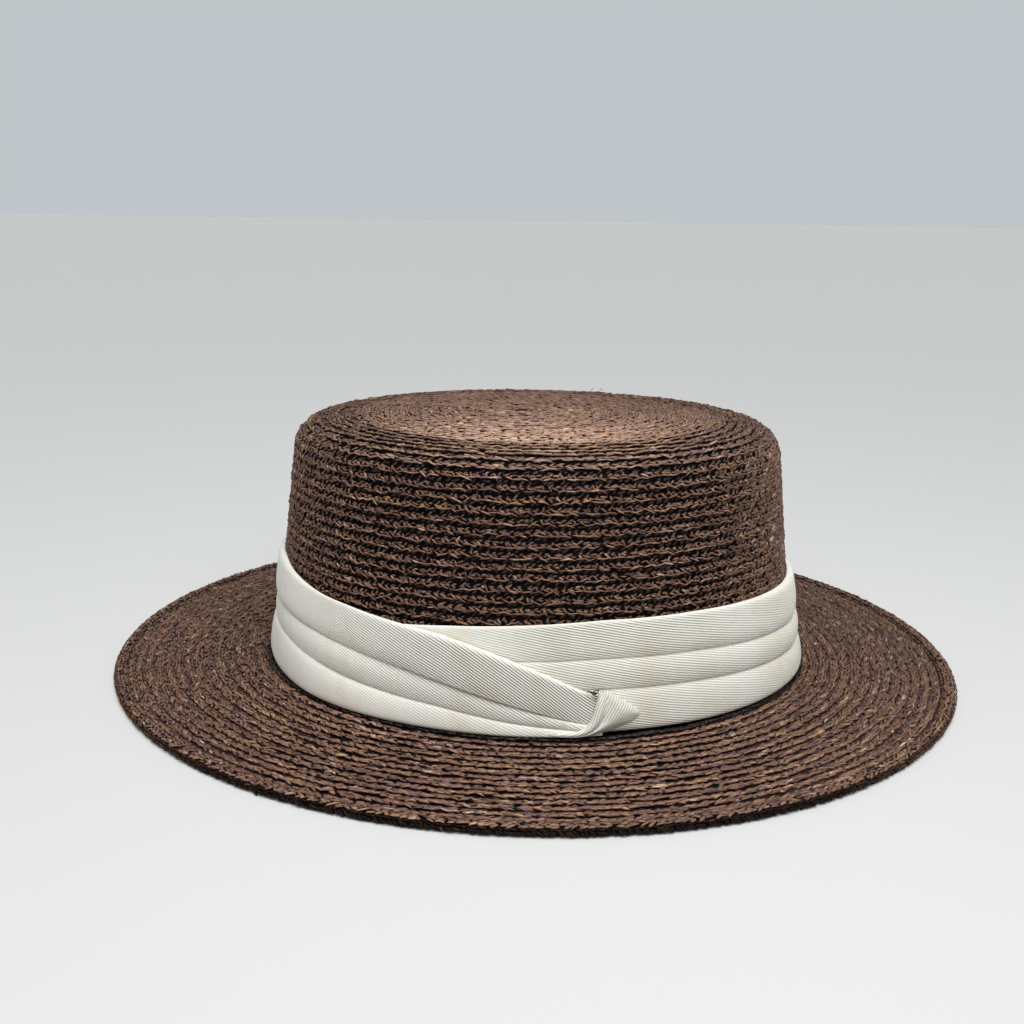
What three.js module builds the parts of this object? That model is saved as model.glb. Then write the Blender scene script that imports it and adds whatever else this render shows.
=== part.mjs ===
import * as THREE from 'three';

// Straw boater hat, millimetres. X runs along the long axis, -Y is the side with
// the knot, Z is up, and the underside of the brim lies on the floor at Z = 0.

// crown
const crownHalfLength = 100; // outside, at the foot of the side
const crownHalfWidth = 86.5; // outside, at the foot of the side
const crownHeight = 91.5; // floor to the rim of the top
const crownTaper = 9; // lean of the side from its foot to the shoulder
const shoulderRadius = 11.5; // rounding between side and top
const topDome = 2.5; // rise of the top above its rim
const strawWall = 2; // thickness of the sewn braid

// brim
const brimWidth = 59.5; // crown foot to the edge
const brimThickness = 2.4;
const edgeRowWidth = 5.6; // the wider last row
const edgeRowThickness = 3.2;

// rows of braid, each lapping over the next one outwards
const rowPitch = 3.6;
const rowProud = 0.5; // step at the outer edge of a row

// cloth band
const bandHeight = 36.5;
const clothThickness = 1.3;
const pleatRelief = 1.1; // how far a pleat swells
const knotSwell = 2.6; // how far the knot stands out past the cloth under it

const gap = 0.3; // between neighbouring pieces
const segments = 42; // around the ovals
const step = 360 / segments;

// The band, by angle round the crown from +X through +Y. Heights are shares of
// bandHeight above its foot. lift counts cloth layers beneath, relief scales the pleats.
const bandTable = [
  { angle: -117, bottom: 0, lineTwo: 0.3, lineOne: 0.62, top: 0.86, lift: 0, relief: 0 },
  { angle: -104, bottom: 0, lineTwo: 0.34, lineOne: 0.63, top: 0.92, lift: 0, relief: 0 },
  { angle: -90, bottom: 0.01, lineTwo: 0.38, lineOne: 0.645, top: 0.965, lift: 0, relief: 0.15 },
  { angle: -75, bottom: 0.03, lineTwo: 0.395, lineOne: 0.67, top: 1.01, lift: 0, relief: 0.5 },
  { angle: -54, bottom: 0.02, lineTwo: 0.37, lineOne: 0.65, top: 1.005, lift: 0, relief: 1 },
  { angle: -18, bottom: 0, lineTwo: 0.28, lineOne: 0.55, top: 0.95, lift: 0, relief: 1 },
  { angle: 20, bottom: 0, lineTwo: 0.29, lineOne: 0.56, top: 0.95, lift: 0, relief: 1 },
  { angle: 90, bottom: 0, lineTwo: 0.32, lineOne: 0.62, top: 0.98, lift: 0, relief: 1 },
  { angle: 170, bottom: 0, lineTwo: 0.38, lineOne: 0.68, top: 1.05, lift: 0, relief: 1 },
  { angle: 200, bottom: 0, lineTwo: 0.38, lineOne: 0.66, top: 1.06, lift: 0, relief: 1 },
  { angle: 210, bottom: 0, lineTwo: 0.37, lineOne: 0.635, top: 1.0, lift: 0.25, relief: 1 },
  { angle: 224, bottom: 0, lineTwo: 0.32, lineOne: 0.6, top: 0.945, lift: 0.8, relief: 1 },
  { angle: 233, bottom: 0, lineTwo: 0.29, lineOne: 0.57, top: 0.93, lift: 1, relief: 1 },
  { angle: 247, bottom: 0, lineTwo: 0.22, lineOne: 0.5, top: 0.89, lift: 1, relief: 0.9 },
  { angle: 262, bottom: 0, lineTwo: 0.13, lineOne: 0.35, top: 0.71, lift: 1, relief: 0.8 },
  { angle: 274, bottom: 0, lineTwo: 0.08, lineOne: 0.18, top: 0.54, lift: 1, relief: 0.6 },
  { angle: 283, bottom: 0, lineTwo: 0.03, lineOne: 0.07, top: 0.37, lift: 1, relief: 0.4 },
];

// The knot, from its foot up. left and right are angles, inner counts the cloth
// layers beneath its two sides, swell scales knotSwell, height is a share of bandHeight.
const knotTable = [
  { height: 0.0, left: -80.2, right: -74.5, innerLeft: 2, innerRight: 2, swell: 0.35 },
  { height: 0.06, left: -80.0, right: -71.6, innerLeft: 2, innerRight: 2, swell: 0.7 },
  { height: 0.13, left: -78.9, right: -69.6, innerLeft: 2, innerRight: 2, swell: 0.9 },
  { height: 0.2, left: -77.9, right: -67.9, innerLeft: 2, innerRight: 2, swell: 1 },
  { height: 0.27, left: -77.4, right: -69.6, innerLeft: 2, innerRight: 2, swell: 1 },
  { height: 0.34, left: -77.1, right: -72.6, innerLeft: 2, innerRight: 2, swell: 0.85 },
  { height: 0.4, left: -76.6, right: -75.0, innerLeft: 2, innerRight: 2, swell: 0.6 },
];

const sideTop = crownHeight - shoulderRadius;
const crownFoot = brimThickness + gap;
const bandFoot = brimThickness + rowProud + gap;
const shortAxis = Math.min(crownHalfLength, crownHalfWidth);
const centreRing = 1; // half width of the first turn of braid

// A point on the oval that lies inset mm inside the crown's foot line.
function ovalPoint(angle, inset, z) {
  const turn = THREE.MathUtils.degToRad(angle);
  return new THREE.Vector3(
    (crownHalfLength - inset) * Math.cos(turn),
    (crownHalfWidth - inset) * Math.sin(turn),
    z,
  );
}

// How far the side of the crown leans in at height z.
function sideInset(z) {
  return (crownTaper * (z - crownFoot)) / (sideTop - crownFoot);
}

// The bare crown as a line from the foot to the middle of the top, moved in by depth.
// Each entry gives inset, height and the outward direction.
function crownLine(depth, arcSteps, topSteps, sideSteps) {
  const line = [];
  const lean = Math.atan2(crownTaper, sideTop - crownFoot);
  for (let k = 0; k <= sideSteps; k += 1) {
    const z = crownFoot + ((sideTop - crownFoot) * k) / sideSteps;
    line.push({ inset: sideInset(z) + depth, z, out: [-Math.cos(lean), Math.sin(lean)] });
  }
  for (let k = 1; k <= arcSteps; k += 1) {
    const turn = (Math.PI / 2) * (k / arcSteps);
    const out = [-Math.cos(turn), Math.sin(turn)];
    const reach = shoulderRadius - depth;
    line.push({
      inset: crownTaper + shoulderRadius + out[0] * reach,
      z: sideTop + out[1] * reach,
      out,
    });
  }
  const flatStart = crownTaper + shoulderRadius;
  const flatEnd = shortAxis - centreRing;
  for (let k = 1; k <= topSteps; k += 1) {
    const share = k / topSteps;
    const rise = topDome * (1 - (1 - share) ** 2);
    line.push({
      inset: flatStart + (flatEnd - flatStart) * share,
      z: crownHeight - depth + rise,
      out: [0, 1],
    });
  }
  return line;
}

// Steps an evenly spaced line into lapped rows, walking from the middle outwards.
function lapRows(line) {
  const lengths = [0];
  for (let k = 1; k < line.length; k += 1) {
    const dx = line[k].inset - line[k - 1].inset;
    const dz = line[k].z - line[k - 1].z;
    lengths.push(lengths[k - 1] + Math.hypot(dx, dz));
  }
  const total = lengths[lengths.length - 1];
  const rows = Math.max(2, Math.round(total / rowPitch));
  const at = (distance, lift) => {
    let k = 1;
    while (k < line.length - 1 && lengths[k] < distance) k += 1;
    const share = (distance - lengths[k - 1]) / (lengths[k] - lengths[k - 1]);
    const mix = (one, two) => one + (two - one) * share;
    const out = [0, 1].map((i) => mix(line[k - 1].out[i], line[k].out[i]));
    const size = Math.hypot(out[0], out[1]);
    return [
      mix(line[k - 1].inset, line[k].inset) + (lift * out[0]) / size,
      mix(line[k - 1].z, line[k].z) + (lift * out[1]) / size,
    ];
  };
  const points = [];
  for (let k = 0; k < rows; k += 1) {
    points.push(at((total * k) / rows, 0));
    points.push(at((total * (k + 0.9)) / rows, rowProud));
  }
  points.push(at(total, 0));
  return points;
}

// Joins loops of equal length into one closed mesh. With flats, the two end loops
// are capped, otherwise the last loop joins the first.
function closedMesh(name, material, loops, flats) {
  const count = loops[0].length;
  const vertices = loops.flat().flatMap((p) => [p.x, p.y, p.z]);
  const faces = [];
  const spans = flats ? loops.length - 1 : loops.length;
  for (let row = 0; row < spans; row += 1) {
    const next = ((row + 1) % loops.length) * count;
    for (let k = 0; k < count; k += 1) {
      const a = row * count + k;
      const b = row * count + ((k + 1) % count);
      const c = next + ((k + 1) % count);
      const d = next + k;
      faces.push([a, b, c], [a, c, d]);
    }
  }
  if (flats) faces.push(...endCaps(faces, flats, loops.length, count));
  const corner = (i) => new THREE.Vector3().fromArray(vertices, i * 3);
  const volume = faces.reduce(
    (sum, [a, b, c]) => sum + corner(a).dot(corner(b).cross(corner(c))) / 6,
    0,
  );
  const index = faces.flatMap(([a, b, c]) => (volume > 0 ? [a, b, c] : [a, c, b]));
  const geometry = new THREE.BufferGeometry();
  geometry.setAttribute('position', new THREE.Float32BufferAttribute(vertices, 3));
  geometry.setIndex(index);
  geometry.computeVertexNormals();
  const mesh = new THREE.Mesh(geometry, material);
  mesh.name = name;
  return mesh;
}

// The two end caps, each turned so that it meets the wall's edges the other way.
function endCaps(wall, flats, loopCount, count) {
  const sides = ([a, b, c]) => [`${a}_${b}`, `${b}_${c}`, `${c}_${a}`];
  const wallSides = new Set(wall.flatMap(sides));
  return flats.flatMap((flat, end) => {
    const first = end * (loopCount - 1) * count;
    const cap = THREE.ShapeUtils.triangulateShape(flat, []).map((face) => face.map((k) => k + first));
    const sameWay = cap.some((face) => sides(face).some((side) => wallSides.has(side)));
    return sameWay ? cap.map(([a, b, c]) => [a, c, b]) : cap;
  });
}

// A shell whose section is a line of insets and heights, taken round the oval.
function ovalShell(name, material, points, capped) {
  const loops = points.map(([inset, z]) =>
    Array.from({ length: segments }, (_, k) => ovalPoint(k * step, inset, z)),
  );
  const flat = (loop) => loop.map((p) => new THREE.Vector2(p.x, p.y));
  const flats = capped ? [flat(loops[0]), flat(loops[loops.length - 1])] : null;
  return closedMesh(name, material, loops, flats);
}

// Reads a table at an angle or height, easing between its rows.
function readTable(table, key, value) {
  let k = 1;
  while (k < table.length - 1 && table[k][key] < value) k += 1;
  const low = table[k - 1];
  const high = table[k];
  const share = THREE.MathUtils.clamp((value - low[key]) / (high[key] - low[key]), 0, 1);
  const row = {};
  Object.keys(low).forEach((name) => {
    row[name] = low[name] + (high[name] - low[name]) * share;
  });
  return row;
}

function crown(material) {
  const bare = crownLine(0, 12, 24, 24);
  const bandHides = bandFoot + bandHeight * 0.84;
  const shown = bare.filter((p) => p.z > bandHides).reverse();
  const outside = [...lapRows(shown)];
  const foot = bare[0];
  outside.push([sideInset(bandHides - rowPitch), bandHides - rowPitch]);
  outside.push([foot.inset, foot.z]);
  const inside = crownLine(strawWall, 4, 4, 2).map((p) => [p.inset, p.z]);
  return ovalShell('crown', material, [...outside, ...inside], true);
}

function brim(material) {
  const start = -gap;
  const edge = -brimWidth;
  const lastRow = edge + edgeRowWidth;
  const line = [0, 0.5, 1].map((share) => ({
    inset: start + (lastRow - start) * share,
    z: brimThickness,
    out: [0, 1],
  }));
  const points = [[strawWall, 0], [strawWall, brimThickness], ...lapRows(line)];
  points.push([lastRow - edgeRowWidth * 0.35, edgeRowThickness]);
  points.push([lastRow - edgeRowWidth * 0.8, edgeRowThickness * 0.97]);
  points.push([edge, edgeRowThickness * 0.6]);
  points.push([edge, edgeRowThickness * 0.3]);
  points.push([edge + 1.2, 0]);
  points.push([edge + brimWidth * 0.4, 0]);
  return ovalShell('brim', material, points, false);
}

// Section of the band at one angle: distance out from the crown's side, and height.
function bandSection(angle) {
  const row = readTable(bandTable, 'angle', angle);
  const at = (share) => bandFoot + bandHeight * share;
  const inner = rowProud + gap + row.lift * (clothThickness + gap);
  const outer = inner + clothThickness;
  const swell = pleatRelief * row.relief;
  const third = (row.lineTwo - row.bottom) * 0.45;
  const nip = 0.012;
  return [
    [inner, at(row.bottom)],
    [outer + swell * 1.1, at(row.bottom)],
    [outer + swell * 1.5, at(row.bottom + third)],
    [outer + swell * 0.3, at(row.lineTwo)],
    [outer + swell * 0.9, at(row.lineTwo + nip)],
    [outer + swell, at((row.lineTwo + row.lineOne) / 2)],
    [outer + swell * 0.3, at(row.lineOne)],
    [outer + swell * 0.9, at(row.lineOne + nip)],
    [outer + swell, at(row.lineOne * 0.55 + row.top * 0.45)],
    [outer - clothThickness * 0.3, at(row.top)],
    [inner, at(row.top)],
  ];
}

function band(material) {
  const first = Math.ceil(bandTable[0].angle / step);
  const last = Math.floor(bandTable[bandTable.length - 1].angle / step);
  const angles = [];
  for (let k = first; k <= last; k += 1) angles.push(k * step);
  const sections = angles.map((angle) => bandSection(angle));
  const loops = sections.map((section, k) =>
    section.map(([out, z]) => ovalPoint(angles[k], sideInset(z) - out, z)),
  );
  const flat = (section) => section.map(([out, z]) => new THREE.Vector2(out, z));
  const flats = [flat(sections[0]), flat(sections[sections.length - 1])];
  return closedMesh('band', material, loops, flats);
}

function knot(material) {
  const layer = clothThickness + gap;
  const beneath = (count) => rowProud + gap + count * layer + pleatRelief * 0.6;
  const sections = knotTable.map((row) => {
    const span = row.right - row.left;
    const left = beneath(row.innerLeft);
    const right = beneath(row.innerRight);
    return [
      [row.left, left],
      [row.left, left + knotSwell * row.swell * 0.6],
      [row.left + span * 0.2, left + knotSwell * row.swell],
      [row.left + span * 0.45, left + knotSwell * row.swell * 0.75],
      [row.right, right + clothThickness * 0.5],
      [row.right, right],
    ];
  });
  const loops = sections.map((section, k) => {
    const z = bandFoot + bandHeight * knotTable[k].height;
    return section.map(([angle, out]) => ovalPoint(angle, sideInset(z) - out, z));
  });
  const flat = (section) => section.map(([angle, out]) => new THREE.Vector2(angle, out));
  const flats = [flat(sections[0]), flat(sections[sections.length - 1])];
  return closedMesh('band_knot', material, loops, flats);
}

const straw = new THREE.MeshStandardMaterial({ color: 0x5b4036, roughness: 0.7, metalness: 0 });
const brimStraw = new THREE.MeshStandardMaterial({ color: 0x66493b, roughness: 0.7, metalness: 0 });
const cloth = new THREE.MeshStandardMaterial({ color: 0xe6e2d6, roughness: 0.9, metalness: 0 });

const group = new THREE.Group();
group.add(crown(straw), brim(brimStraw), band(cloth), knot(cloth.clone()));

export default group;
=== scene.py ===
import math

import bmesh
import bpy
import numpy as np
from mathutils import Matrix, Vector


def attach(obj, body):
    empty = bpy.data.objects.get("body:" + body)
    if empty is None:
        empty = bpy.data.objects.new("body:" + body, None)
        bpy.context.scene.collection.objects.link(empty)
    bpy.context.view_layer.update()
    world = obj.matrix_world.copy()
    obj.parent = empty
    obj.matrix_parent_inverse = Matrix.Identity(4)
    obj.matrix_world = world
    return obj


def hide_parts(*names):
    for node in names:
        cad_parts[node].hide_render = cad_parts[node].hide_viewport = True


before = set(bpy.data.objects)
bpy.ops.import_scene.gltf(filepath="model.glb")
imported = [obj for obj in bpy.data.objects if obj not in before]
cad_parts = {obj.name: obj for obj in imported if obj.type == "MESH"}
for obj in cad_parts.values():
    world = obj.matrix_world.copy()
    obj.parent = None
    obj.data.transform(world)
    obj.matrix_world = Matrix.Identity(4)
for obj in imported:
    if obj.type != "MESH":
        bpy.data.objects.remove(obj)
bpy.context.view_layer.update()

random = np.random.default_rng(7)
mm = 0.001

# The hat's own sizes in millimetres, the same as those of the solids.
hat = {
    "halfLength": 100.0,
    "halfWidth": 86.5,
    "height": 91.5,
    "taper": 9.0,
    "shoulder": 11.5,
    "dome": 2.5,
    "brimWidth": 59.5,
    "brimThickness": 2.4,
    "edgeRow": 5.6,
    "edgeThickness": 3.2,
    "rowPitch": 3.6,
    "bandFoot": 3.2,
    "bandHeight": 36.5,
    "crownFoot": 2.7,
}
seam = math.radians(90)  # the spiral of braid starts each turn at the back
fibreIor = 1.5  # of straw, cotton and thread alike


# Materials

def srgb(code):
    parts = [int(code[k:k + 2], 16) / 255 for k in (1, 3, 5)]
    return tuple(c / 12.92 if c <= 0.04045 else ((c + 0.055) / 1.055) ** 2.4 for c in parts)


def paint(code):
    return (*srgb(code), 1.0)


def feed(tree, node, inputs):
    # each input gets its own value, or a link from an output or a node's first output
    for name, value in inputs.items():
        if isinstance(value, bpy.types.Node):
            value = value.outputs[0]
        if isinstance(value, bpy.types.NodeSocket):
            tree.links.new(value, node.inputs[name])
        else:
            node.inputs[name].default_value = value


def addNode(tree, kind, inputs=None, **settings):
    node = tree.nodes.new("ShaderNode" + kind)
    for name, value in settings.items():
        setattr(node, name, value)
    feed(tree, node, inputs or {})
    return node


def reckon(tree, operation, *values):
    return addNode(tree, "Math", dict(enumerate(values)), operation=operation)


def rangeOf(tree, value, start, end, low=0.0, high=1.0):
    return addNode(tree, "MapRange", {"Value": value, "From Min": start, "From Max": end,
                                      "To Min": low, "To Max": high})


def blend(tree, share, first, second):
    # from the first colour to the second
    mix = addNode(tree, "Mix", {"Factor": share, 6: first, 7: second}, data_type="RGBA")
    return mix.outputs[2]


def newMaterial(name):
    material = bpy.data.materials.new(name)
    material.use_nodes = True
    tree = material.node_tree
    tree.nodes.clear()
    shader = addNode(tree, "BsdfPrincipled")
    addNode(tree, "OutputMaterial", {"Surface": shader})
    return material, tree, shader


def plainMaterial(name, colour, roughness):
    material, tree, shader = newMaterial(name)
    feed(tree, shader, {"Base Color": paint(colour), "Roughness": roughness, "IOR": fibreIor})
    return material


def newObject(name, data):
    # an object in the scene, at the origin
    made = bpy.data.objects.new(name, data)
    bpy.context.collection.objects.link(made)
    return made


strawLook = {
    "roughness": 0.5,
    "specular": 0.4,
    "rimSpecular": 0.08,  # the straws of the cut edge reflect little: a shaded copy of the straw, as painted shade
    "fibreWidth": 0.32,  # mm, the fine lines along a split straw
    "fibreLength": 2.6,  # mm
    "fibreDepth": 0.1,  # mm
    "bump": 0.6,
    "streakFrom": 0.3,  # the fibres' noise from its dark streaks to its light ones
    "streakTo": 0.7,
    "streakDark": 0.5,
    "streakLight": 1.5,
    "apart": 0.1,  # m, how far apart two straws lie in the fibres' noise at most
}


def strawMaterial(name, specular):
    # Plaited natural straw, dyed in the strand: dull satin lines run along each straw,
    # and the dye takes unevenly, so neighbours differ in tone. The tone also carries
    # painted light and shade: shade in the plait's recesses and under the band, highlights
    # on proud edges and towards the front.
    material, tree, shader = newMaterial(name)
    tone = addNode(tree, "Attribute", attribute_name="strawToneAndShade")
    place = addNode(tree, "UVMap", uv_map="strawUv")
    lengthways = 1 / (strawLook["fibreLength"] * mm)
    crossways = 1 / (strawLook["fibreWidth"] * mm)
    stretched = addNode(tree, "Mapping", {
        "Vector": place, "Scale": (lengthways, crossways, 1.0)})
    fibres = addNode(tree, "TexNoise", {"Vector": stretched, "Scale": 1.0, "Detail": 2.0})
    shade = rangeOf(tree, fibres, strawLook["streakFrom"], strawLook["streakTo"],
                    strawLook["streakDark"], strawLook["streakLight"])
    colour = addNode(tree, "VectorMath", {0: tone, 1: shade}, operation="MULTIPLY")
    bump = addNode(tree, "Bump", {"Height": fibres, "Strength": strawLook["bump"],
                                  "Distance": strawLook["fibreDepth"] * mm})
    feed(tree, shader, {
        "Base Color": colour, "Normal": bump,
        "Roughness": strawLook["roughness"], "IOR": fibreIor, "Specular IOR Level": specular})
    return material


shellLook = {
    # painted shade of the gaps between the straws, in two tones over the plait's crossings
    "dark": "#080506",
    "light": "#140e0e",
    "closed": "#3b2a24",  # less painted shade where the plait lies closer, at the oval's two ends
    "top": "#66503f",  # and none on the flat top, where no gap is left to see into
    "closedFrom": 60.0,  # mm from the middle, either way along the oval
    "closedTo": 88.0,
    "topFrom": 91.6,  # mm above the floor
    "topTo": 92.6,
    "patch": 2.4,  # mm, size of one crossing of the plait
    "depth": 0.35,  # mm
    "bump": 0.7,
    "roughness": 0.8,
    "specular": 0.1,
}


def shellMaterial():
    # The body of the braid between the outer straws, coloured near black as the painted
    # shade seen in the gaps, with the plait's crossings as a low relief.
    material, tree, shader = newMaterial("braid body in painted shade")
    place = addNode(tree, "TexCoord").outputs["Object"]
    cells = addNode(tree, "TexVoronoi", {"Vector": place, "Scale": 1 / (shellLook["patch"] * mm)})
    colour = blend(tree, cells, paint(shellLook["light"]), paint(shellLook["dark"]))
    parts = addNode(tree, "SeparateXYZ", {0: place})
    sideways = reckon(tree, "ABSOLUTE", parts.outputs["X"])
    closed = rangeOf(tree, sideways, shellLook["closedFrom"] * mm, shellLook["closedTo"] * mm)
    shade = blend(tree, closed, colour, paint(shellLook["closed"]))
    top = rangeOf(tree, parts.outputs["Z"], shellLook["topFrom"] * mm, shellLook["topTo"] * mm)
    crowned = blend(tree, top, shade, paint(shellLook["top"]))
    bump = addNode(tree, "Bump", {"Height": cells, "Strength": shellLook["bump"],
                                  "Distance": shellLook["depth"] * mm}, invert=True)
    feed(tree, shader, {
        "Base Color": crowned, "Normal": bump, "IOR": fibreIor,
        "Roughness": shellLook["roughness"], "Specular IOR Level": shellLook["specular"]})
    return material


clothLook = {
    "colour": "#f6f4ea",
    "hollowShade": "#6f6c63",
    "stain": "#f0e8d8",
    "ribSpacing": 0.82,  # mm between the twill's ribs
    "ribDepth": 0.13,  # mm
    "narrow": 1.7,  # the hollows between ribs are this much sharper than a plain wave
    "wander": 0.3,  # how far the ribs wander, and how slowly
    "wanderScale": 0.4,
    "bump": 0.8,
    "roughness": 0.85,
    "sheen": 0.25,
    "sheenRoughness": 0.5,
    "yarn": 0.3,  # mm
    "blotches": 60.0,  # to the metre
    "stainFrom": 0.45,  # the blotches' noise from clean cloth to the most stained
    "stainTo": 0.75,
    "stained": 0.8,
}


def clothMaterial():
    # Cotton twill: matt, with fine slanting ribs that shade one another and a short
    # nap that lifts the edges. The hollows between the ribs are painted darker as their shade,
    # besides their bump. The sheet's own UV map holds the slant of the ribs, and ribShare how
    # crisp they stand there, from pressed flat at 0 to pulled tight at 1, in bump and painted shade
    # alike.
    material, tree, shader = newMaterial("ivory twill")
    place = addNode(tree, "UVMap", uv_map="clothUv")
    # the wave repeats every 2 pi / 20 of its own scale
    ribs = addNode(tree, "TexWave", {
        "Vector": place, "Scale": 2 * math.pi / 20 / (clothLook["ribSpacing"] * mm),
        "Distortion": clothLook["wander"], "Detail": 1.0,
        "Detail Scale": clothLook["wanderScale"]},
        wave_type="BANDS", bands_direction="Y", wave_profile="SIN")
    share = addNode(tree, "Attribute", attribute_name="ribShare")
    hollow = reckon(tree, "SUBTRACT", 1.0, ribs.outputs["Fac"])
    narrow = reckon(tree, "POWER", hollow, clothLook["narrow"])
    depth = reckon(tree, "MULTIPLY", narrow, share.outputs["Fac"])
    rib = reckon(tree, "SUBTRACT", 1.0, depth)
    yarn = addNode(tree, "TexNoise", {
        "Vector": place, "Scale": 1 / (clothLook["yarn"] * mm), "Detail": 2.0})
    blotch = addNode(tree, "TexNoise", {
        "Vector": place, "Scale": clothLook["blotches"], "Detail": 3.0})
    height = reckon(tree, "ADD", rib, reckon(tree, "MULTIPLY", rib, yarn))
    # painted shade in the hollows between the ribs
    colour = blend(tree, rib, paint(clothLook["hollowShade"]), paint(clothLook["colour"]))
    age = rangeOf(tree, blotch, clothLook["stainFrom"], clothLook["stainTo"],
                  0.0, clothLook["stained"])
    tint = blend(tree, age, (1.0, 1.0, 1.0, 1.0), paint(clothLook["stain"]))
    aged = addNode(tree, "VectorMath", {0: colour, 1: tint}, operation="MULTIPLY")
    bump = addNode(tree, "Bump", {"Height": height, "Strength": clothLook["bump"],
                                  "Distance": clothLook["ribDepth"] * mm})
    feed(tree, shader, {
        "Base Color": aged, "Normal": bump, "IOR": fibreIor,
        "Roughness": clothLook["roughness"], "Sheen Weight": clothLook["sheen"],
        "Sheen Roughness": clothLook["sheenRoughness"]})
    return material


straw = strawMaterial("dyed straw", strawLook["specular"])
shadedRimStraw = strawMaterial("shaded edge straw", strawLook["rimSpecular"])
shadedShell = shellMaterial()
cloth = clothMaterial()


# Lines of the hat, each a table of distance, inset and height in millimetres
lineSizes = {
    "perMillimetre": 4,  # points along a line
    "slopeReach": 0.4,  # mm either way over which its slope is read
    "middleGap": 0.6,  # mm left open at the middle of the top
    "topSteps": 60,
    "shoulderSteps": 24,
    "sideSteps": 40,
    "ringSteps": 1441,  # round the oval
}


def sideInset(z):
    rise = hat["height"] - hat["shoulder"] - hat["crownFoot"]
    return hat["taper"] * (z - hat["crownFoot"]) / rise


def lineOf(points):
    points = np.array(points, float)
    reach = np.concatenate([[0], np.cumsum(np.hypot(*np.diff(points, axis=0).T))])
    even = np.linspace(0, reach[-1], max(40, int(reach[-1] * lineSizes["perMillimetre"])))
    inset, z = (np.interp(even, reach, points[:, k]) for k in (0, 1))
    return {"along": even, "inset": inset, "z": z, "length": reach[-1]}


def crownLine(depth):
    # from the middle of the top outwards and down the side, depth mm under the surface
    start = hat["taper"] + hat["shoulder"]
    sideTop = hat["height"] - hat["shoulder"]
    points = []
    middle = min(hat["halfLength"], hat["halfWidth"]) - lineSizes["middleGap"]
    for share in np.linspace(1, 0, lineSizes["topSteps"]):
        inset = start + (middle - start) * share
        rise = hat["dome"] * (1 - (1 - share) ** 2)
        points.append((inset, hat["height"] - depth + rise))
    reach = hat["shoulder"] - depth
    for turn in np.linspace(math.pi / 2, 0, lineSizes["shoulderSteps"])[1:]:
        points.append((start - reach * math.cos(turn), sideTop + reach * math.sin(turn)))
    for z in np.linspace(sideTop, hat["crownFoot"], lineSizes["sideSteps"])[1:]:
        points.append((sideInset(z) + depth, z))
    return lineOf(points)


def ovalPoints(angle, inset, z):
    return np.stack([(hat["halfLength"] - inset) * np.cos(angle),
                     (hat["halfWidth"] - inset) * np.sin(angle),
                     np.broadcast_to(z, np.shape(angle))], -1)


def ovalFrames(line, along, angle):
    # place and directions on a line swept round the oval: with the row, across it
    # towards its outer edge, and out of the surface
    read = [np.interp(along, line["along"], line[key]) for key in ("inset", "z")]
    near = np.clip(along - lineSizes["slopeReach"], 0, line["length"])
    far = np.clip(along + lineSizes["slopeReach"], 0, line["length"])
    slope = [np.interp(far, line["along"], line[key]) - np.interp(near, line["along"], line[key])
             for key in ("inset", "z")]
    place = ovalPoints(angle, read[0], read[1])
    withRow = np.stack([-(hat["halfLength"] - read[0]) * np.sin(angle),
                        (hat["halfWidth"] - read[0]) * np.cos(angle),
                        np.zeros_like(angle)], -1)
    withRow /= np.linalg.norm(withRow, axis=1, keepdims=True)
    level = np.stack([withRow[:, 1], -withRow[:, 0], np.zeros_like(angle)], -1)
    across = level * -slope[0][:, None] + np.array([0, 0, 1]) * slope[1][:, None]
    across /= np.linalg.norm(across, axis=1, keepdims=True)
    out = np.cross(across, withRow)
    return place, withRow, across, out


def evenAngles(inset, count, shift):
    # count angles, evenly spaced along the oval's own length from the seam
    angle = np.linspace(0, 2 * math.pi, lineSizes["ringSteps"]) + seam
    ring = ovalPoints(angle, inset, 0.0)
    reach = np.concatenate([[0], np.cumsum(np.linalg.norm(np.diff(ring, axis=0), axis=1))])
    wanted = (np.arange(count) + shift) / count % 1.0 * reach[-1]
    return np.interp(wanted, reach, angle), reach[-1]


# Straws

strawPalette = [  # share of the straws, colour
    (0.32, "#745445"),
    (0.24, "#7c5d4a"),
    (0.18, "#664a3f"),
    (0.12, "#6a4f4d"),
    (0.06, "#82654a"),
    # the palest straws, a few at random, stand for glints: painted highlights
    (0.04, "#9b8070"),
    (0.05, "#523d38"),
]
drift = {
    "length": 45.0,  # mm of braid over which the dye changes
    "tone": 0.13,
    "straw": 0.17,  # and how much one straw differs from the next
    "gold": "#8d6d45",
    "goldFrom": 0.4,
    "goldShare": 0.36,
}
bleach = {  # painted highlight: the top lighter towards its front, where the light falls on it
    "dyed": "#745445",
    "highlit": "#bf9883",
    "from": 30.0,  # mm, from the back of this line to the front of the next
    "to": -50.0,
    "halfWidth": 100.0,
}
rowWaver = {"knots": 150, "across": 0.2, "lift": 0.12}  # mm that a whole row strays
strawStray = {  # and how far each straw strays from its place in the row
    "turn": 0.18,  # share of the distance between two straws
    "across": 0.1,  # mm
    "lift": 0.09,  # mm
    "dive": 4,  # degrees
    "tilt": 8,
    "size": 0.2,  # share of its length, width and thickness, within the next two
    "least": 0.55,
    "most": 1.6,
    "start": 0.3,  # mm of each line that no straw's middle enters
}
closing = {"from": 0.6, "over": 0.3}  # share of the way to the oval's ends where gaps fill
leafShape = {  # shares of a straw's own sizes
    "sides": 4,
    "tip": 0.49,  # beyond this from its middle a point belongs to a tip
    "length": 0.9,
    "belly": 1.15,
    "rise": 0.1,
    "droop": 0.35,
}


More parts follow.
